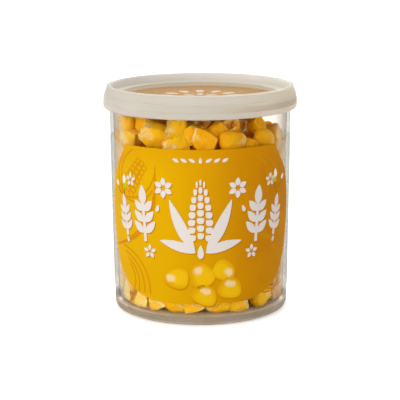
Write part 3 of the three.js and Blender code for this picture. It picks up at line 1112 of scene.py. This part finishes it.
def close_kernels(draw):
    """The meshes, places and tones of the kernels that lie close behind the front wall."""
    placed = []
    for kind, across, up, turn, lean, size, behind, tone, paler in CLOSE:
        mesh = kernel_shape(kind, draw, CLOSE_CUTS, paler)
        mesh.transform(Matrix.Scale(size, 4))
        r = inner_radius(up) - CLOSE_HALF * size - behind
        angle = math.asin(max(-0.97, min(0.97, across / r)))
        turned = Matrix.Rotation(math.radians(turn), 3, "Z")
        leaning = Matrix.Rotation(math.radians(-lean), 3, "X")
        stand = Matrix.Rotation(angle, 3, "Z") @ FACE_OUT @ (turned @ leaning)
        place = Vector((r * math.sin(angle), -r * math.cos(angle), up)) * MM
        matrix = Matrix.Translation(place) @ stand.to_4x4()
        placed.append((mesh, set_clear(mesh, matrix), tone))
    return placed


# ---------------------------------------------------------------- filling the tub

SIM = 100.0  # the fall is worked out at this scale, where it is steadier
UNIT = SIM * MM
SIM_FRAMES = 84
SIM_GRAVITY = (0, 0, -30.0)
EARTH_GRAVITY = (0, 0, -9.81)
PLANKS = 32
PLANK_HEIGHT = 240.0
CORE_R = 20.0
CORE_FOOT = 15.0
CORE_TOP = 62.0
FILL_TOP = 200.0  # mm, the highest that a falling kernel starts
FILL_R = 29.3
LIFT_STEP = 9.6
RING_STEP = 11.6
HULL_POINTS = 26
WALL_CLEAR = 0.12
FLOOR_CLEAR = 0.1
LID_UNDER = 90.0


def starting_places(draw):
    """Rings of kernels above the floor, none touching, which then fall into place."""
    places = []
    z = FLOOR_TOP + 7.0
    rank = 0
    while z < FILL_TOP:
        r = FILL_R
        while r > 0.0:
            near_core = CORE_FOOT - 8.0 < z < CORE_TOP + 8.0
            if near_core and r < CORE_R + 7.0:
                break
            count = max(1, int(math.tau * r / RING_STEP))
            for i in range(count):
                angle = math.tau * (i + 0.5 * (rank % 2)) / count
                up = z + draw.uniform(-0.3, 0.3)
                places.append(Vector((r * math.cos(angle), r * math.sin(angle), up)))
            r -= RING_STEP
        z += LIFT_STEP
        rank += 1
    return places


def body(mesh, matrix, group, moving, shape="CONVEX_HULL"):
    """A temporary solid for the fall."""
    thing = bpy.data.objects.new("falling", mesh)
    thing.matrix_world = matrix
    bpy.context.scene.collection.objects.link(thing)
    group.objects.link(thing)
    rigid = thing.rigid_body
    rigid.type = "ACTIVE" if moving else "PASSIVE"
    rigid.collision_shape = shape
    rigid.friction = 0.45
    rigid.restitution = 0.0
    rigid.linear_damping = 0.08
    rigid.angular_damping = 0.2
    return thing


def falling_hull(mesh):
    """The few outermost points of a kernel, wrapped in flat faces, at the fall's scale."""
    bm = bmesh.new()
    picked = set()
    for i in range(HULL_POINTS):
        up = 1.0 - 2.0 * (i + 0.5) / HULL_POINTS
        turn = i * math.pi * (3.0 - math.sqrt(5.0))
        flat = math.sqrt(1.0 - up * up)
        way = Vector((flat * math.cos(turn), flat * math.sin(turn), up))
        picked.add(max(range(len(mesh.vertices)), key=lambda n: mesh.vertices[n].co.dot(way)))
    for n in sorted(picked):
        bm.verts.new(mesh.vertices[n].co * SIM)
    bmesh.ops.convex_hull(bm, input=bm.verts[:])
    return bare_mesh(bm, "falling_hull")


def plank(size):
    """A block of this size in mm, at the scale of the fall."""
    bm = bmesh.new()
    bmesh.ops.create_cube(bm, size=1.0)
    bmesh.ops.scale(bm, vec=Vector(size) * UNIT, verts=bm.verts[:])
    return bare_mesh(bm, "plank")


def post(bm, r, depth, sides):
    """An upright closed cylinder round the middle."""
    bmesh.ops.create_cone(bm, cap_ends=True, segments=sides, radius1=r, radius2=r, depth=depth)


def container(group):
    """Planks for the tub's inner wall, its floor and a post for the heap's core."""
    lean = math.atan2(MOUTH_R - FOOT_R, TUB_TOP)
    wall = plank((9.0, 6.0, PLANK_HEIGHT))
    middle = inner_radius(PLANK_HEIGHT / 2) - 0.3 + 3.0
    stand = Matrix.Translation(Vector((0, -middle, PLANK_HEIGHT / 2)) * UNIT)
    things = []
    for i in range(PLANKS):
        turn = Matrix.Rotation(math.tau * i / PLANKS, 4, "Z")
        things.append(body(wall, turn @ stand @ Matrix.Rotation(lean, 4, "X"), group, False, "BOX"))
    under = Matrix.Translation(Vector((0, 0, FLOOR_TOP + FLOOR_CLEAR - 5.0)) * UNIT)
    things.append(body(plank((90.0, 90.0, 10.0)), under, group, False, "BOX"))
    bm = bmesh.new()
    post(bm, CORE_R * UNIT, (CORE_TOP - CORE_FOOT) * UNIT, 12)
    stand = Matrix.Translation(Vector((0, 0, (CORE_TOP + CORE_FOOT) / 2)) * UNIT)
    things.append(body(bare_mesh(bm, "post"), stand, group, False))
    return things


def fall_world(group):
    """The scene's physics, set for kernels a hundred times their size."""
    bpy.ops.rigidbody.world_add()
    world = bpy.context.scene.rigidbody_world
    world.collection = group
    world.substeps_per_frame = 5
    world.solver_iterations = 10
    world.point_cache.frame_start = 1
    world.point_cache.frame_end = SIM_FRAMES
    bpy.context.scene.gravity = SIM_GRAVITY


def clear_away(things, group):
    """Takes the fall's solids and physics out of the scene."""
    bpy.ops.rigidbody.world_remove()
    for thing in things:
        bpy.data.objects.remove(thing)
    for mesh in list(bpy.data.meshes):
        if mesh.users == 0 and not mesh.name.startswith("kernel_"):
            bpy.data.meshes.remove(mesh)
    bpy.data.collections.remove(group)
    bpy.context.scene.gravity = EARTH_GRAVITY
    bpy.context.scene.frame_set(1)


def stood(place, turn):
    """A place and a turn as one matrix."""
    return Matrix.Translation(place) @ turn.to_matrix().to_4x4()


def fallen(shapes, draw, fixed):
    """Lets the kernels fall round the fixed ones, and gives each one's shape and resting place."""
    group = bpy.data.collections.new("fall")
    fall_world(group)
    things = container(group)
    for mesh, matrix, _ in fixed:
        place, turn, _ = matrix.decompose()
        things.append(body(falling_hull(mesh), stood(place * SIM, turn), group, False))
    hulls = [falling_hull(mesh) for mesh in shapes]
    kernels = []
    for spot in starting_places(draw):
        kind = draw.randrange(len(shapes))
        turn = Euler((draw.uniform(-0.6, 0.6), draw.uniform(-0.6, 0.6), draw.uniform(0, math.tau)))
        kernels.append((kind, body(hulls[kind], stood(spot * UNIT, turn), group, True)))
    for step in range(1, SIM_FRAMES + 1):
        bpy.context.scene.frame_set(step)
    graph = bpy.context.evaluated_depsgraph_get()
    rest = []
    for kind, thing in kernels:
        place, turn, _ = thing.evaluated_get(graph).matrix_world.decompose()
        rest.append((kind, stood(place / SIM, turn)))
    clear_away(things + [thing for _, thing in kernels], group)
    return rest


def reach(mesh, matrix):
    """Lowest and highest point, and the farthest past the inner wall, in mm."""
    points = [matrix @ v.co / MM for v in mesh.vertices]
    past = max(math.hypot(p.x, p.y) - inner_radius(max(p.z, FLOOR_TOP)) for p in points)
    return min(p.z for p in points), max(p.z for p in points), past


def set_clear(mesh, matrix):
    """Moves a kernel in from the wall and up from the floor, by as much as it reaches into them."""
    low, _, past = reach(mesh, matrix)
    spot = matrix.translation / MM
    r = math.hypot(spot.x, spot.y)
    inward = max(0.0, past + WALL_CLEAR)
    shift = Vector((-spot.x / r, -spot.y / r, 0.0)) * inward if r > 0.0 else Vector()
    shift.z = max(0.0, FLOOR_TOP + FLOOR_CLEAR - low)
    return Matrix.Translation(shift * MM) @ matrix


def kept_kernels(shapes, rest):
    """The kernels that came to rest in the tub, under the heap's surface and the lid."""
    kept = []
    for kind, matrix in rest:
        _, high, _ = reach(shapes[kind], matrix)
        spot = matrix.translation / MM
        outside = spot.z < 0.0 or math.hypot(spot.x, spot.y) > MOUTH_R
        too_high = spot.z > pile_top(spot.x, spot.y) - 1.0 or high > LID_UNDER - 1.0
        if outside or too_high:
            continue
        kept.append((kind, set_clear(shapes[kind], matrix)))
    return kept


def core_piece():
    """The plain inside of the heap, lumpy where it could show between kernels."""
    bm = bmesh.new()
    depth = CORE_TOP + 6.0 - CORE_FOOT
    post(bm, (CORE_R + 1) * MM, depth * MM, 48)
    bmesh.ops.translate(bm, vec=(0, 0, (CORE_FOOT + depth / 2) * MM), verts=bm.verts[:])
    tall = [e for e in bm.edges if abs(e.verts[0].co.z - e.verts[1].co.z) > 0.01]
    bmesh.ops.subdivide_edges(bm, edges=tall, cuts=16)
    for v in bm.verts:
        v.co += v.co.normalized() * noise.noise(v.co / (4.0 * MM)) * 0.8 * MM
    bmesh.ops.recalc_face_normals(bm, faces=bm.faces[:])
    return new_piece("corn_core_painted_shade", bm, heap_inside_painted_shade(), ["corn"])


def joined(name, placed, skin):
    """One mesh of many kernels, each given as its mesh, its place and its tone."""
    bm = bmesh.new()
    for mesh, matrix, tone in placed:
        one = mesh.copy()
        one.transform(matrix)
        for spot in one.attributes["look"].data:
            cut, _, deep, _ = spot.color
            spot.color = (cut, tone, deep, 1.0)
        bm.from_mesh(one)
        bpy.data.meshes.remove(one)
    piece = new_piece(name, bm, skin)
    sharpen(piece.data, 55)


def corn_pieces():
    """All kernels, one joined mesh for each kind and one for those at the front, over the core."""
    draw = random.Random(KERNEL_SEED)
    names = [kind for kind, count in KINDS.items() for _ in range(count)]
    shapes = [kernel_shape(kind, draw) for kind in names]
    close = close_kernels(draw)
    kept = kept_kernels(shapes, fallen(shapes, draw, close))
    skin = corn_skin()
    joined("corn_close", close, skin)
    for kind in KINDS:
        placed = [(shapes[i], matrix, draw.random() * 0.8) for i, matrix in kept if names[i] == kind]
        joined("corn_" + kind, placed, skin)
    for mesh in shapes + [mesh for mesh, _, _ in close]:
        bpy.data.meshes.remove(mesh)
    core_piece()


# ---------------------------------------------------------------- camera, floor and light

# The camera, in mm and degrees, looks level along +Y when its pitch and roll are 0.
CAMERA_ASIDE = -0.2
CAMERA_DISTANCE = 602.95
CAMERA_HEIGHT = 172.83
CAMERA_PITCH = 11.952
CAMERA_ROLL = -0.236
LENS = 129.8
SENSOR_WIDTH = 36.0
CLEAR_FACES = 24  # clear faces that light may pass one after another

FLOOR_HALF = 4.0  # metres
FLOOR_LIFT = 0.45  # brightness that the camera sees over the floor's own

WORLD_FRONT = 0.5  # light from the room in front of the tub and behind it
WORLD_BACK = 1.0
MIRROR_FRONT = 0.04  # what shiny faces reflect of the dark room in front
MIRROR_BACK = 0.7
LAMP_AIM = Vector((0, 0, 0.05))
LAMPS = (  # name, place and width in metres, watts, and whether shiny faces mirror it
    ("key", (-0.70, -0.83, 0.38), 0.7, 9.0, False),
    ("low_right", (0.66, -0.8, 0.08), 0.5, 3.6, False),
    ("top", (0.0, 0.2, 1.3), 1.1, 1.8, False),
    ("back_wash", (0.0, 2.2, 1.6), 2.0, 38.0, True),
)


def add_camera():
    data = bpy.data.cameras.new("camera")
    data.lens = LENS
    data.sensor_width = SENSOR_WIDTH
    camera = bpy.data.objects.new("camera", data)
    look = Euler((math.radians(90.0 - CAMERA_PITCH), 0, 0)).to_matrix()
    roll = Matrix.Rotation(math.radians(CAMERA_ROLL), 3, "Z")
    place = Vector((CAMERA_ASIDE, -CAMERA_DISTANCE, CAMERA_HEIGHT)) * MM
    camera.matrix_world = Matrix.Translation(place) @ (look @ roll).to_4x4()
    bpy.context.scene.collection.objects.link(camera)
    bpy.context.scene.camera = camera


def add_floor():
    """A white floor that fades into the white room."""
    bm = bmesh.new()
    bmesh.ops.create_grid(bm, x_segments=1, y_segments=1, size=FLOOR_HALF)
    mesh = bare_mesh(bm, "floor")
    made = Finish("floor_white", Roughness=0.9, Specular_IOR_Level=0.1)
    made.wear("Base Color", made.mixed(made.noise(0.002, 2.0), (0.80, 0.80, 0.80), (0.78, 0.78, 0.78)))
    made.wear("Emission Color", WHITE)
    seen = made.node("ShaderNodeLightPath").outputs["Is Camera Ray"]
    made.wear("Emission Strength", made.times(seen, FLOOR_LIFT))
    mesh.materials.append(made.material)
    floor = bpy.data.objects.new("floor", mesh)
    bpy.context.scene.collection.objects.link(floor)


def add_lamp(name, place, size, watts, mirrored):
    data = bpy.data.lights.new(name, "AREA")
    data.size = size
    data.energy = watts
    lamp = bpy.data.objects.new(name, data)
    lamp.visible_glossy = mirrored
    lamp.location = place
    lamp.rotation_euler = (LAMP_AIM - Vector(place)).to_track_quat("-Z", "Y").to_euler()
    bpy.context.scene.collection.objects.link(lamp)


def studio_world():
    """White where the camera sees it, bright behind and above, dark in front for reflections."""
    world = bpy.data.worlds.new("studio")
    world.use_nodes = True
    room = Nodes(world.node_tree)
    way = room.node("ShaderNodeTexCoord").outputs["Generated"]
    depth = room.node("ShaderNodeSeparateXYZ", {0: way}).outputs["Y"]
    ray = room.node("ShaderNodeLightPath").outputs

    def ahead(front, rear):
        return room.spread(depth, -0.5, 0.5, front, rear, "LINEAR")

    def choose(share, off, on):
        return room.node("ShaderNodeMix", {0: share, 2: off, 3: on}).outputs[0]

    mirror = ahead(MIRROR_FRONT, MIRROR_BACK)
    lit = choose(ray["Is Glossy Ray"], ahead(WORLD_FRONT, WORLD_BACK), mirror)
    back = world.node_tree.nodes["Background"]
    room.give(back.inputs["Strength"], choose(ray["Is Camera Ray"], lit, 1.0))
    room.give(back.inputs["Color"], WHITE)
    bpy.context.scene.world = world


def main():
    add_camera()
    add_floor()
    studio_world()
    for lamp in LAMPS:
        add_lamp(*lamp)
    tub_piece()
    lid_piece()
    film_piece()
    seal_piece()
    panel_piece()
    label_art()
    disc_art()
    corn_pieces()
    bpy.context.scene.view_settings.view_transform = "Standard"
    bpy.context.scene.cycles.transparent_max_bounces = CLEAR_FACES


main()
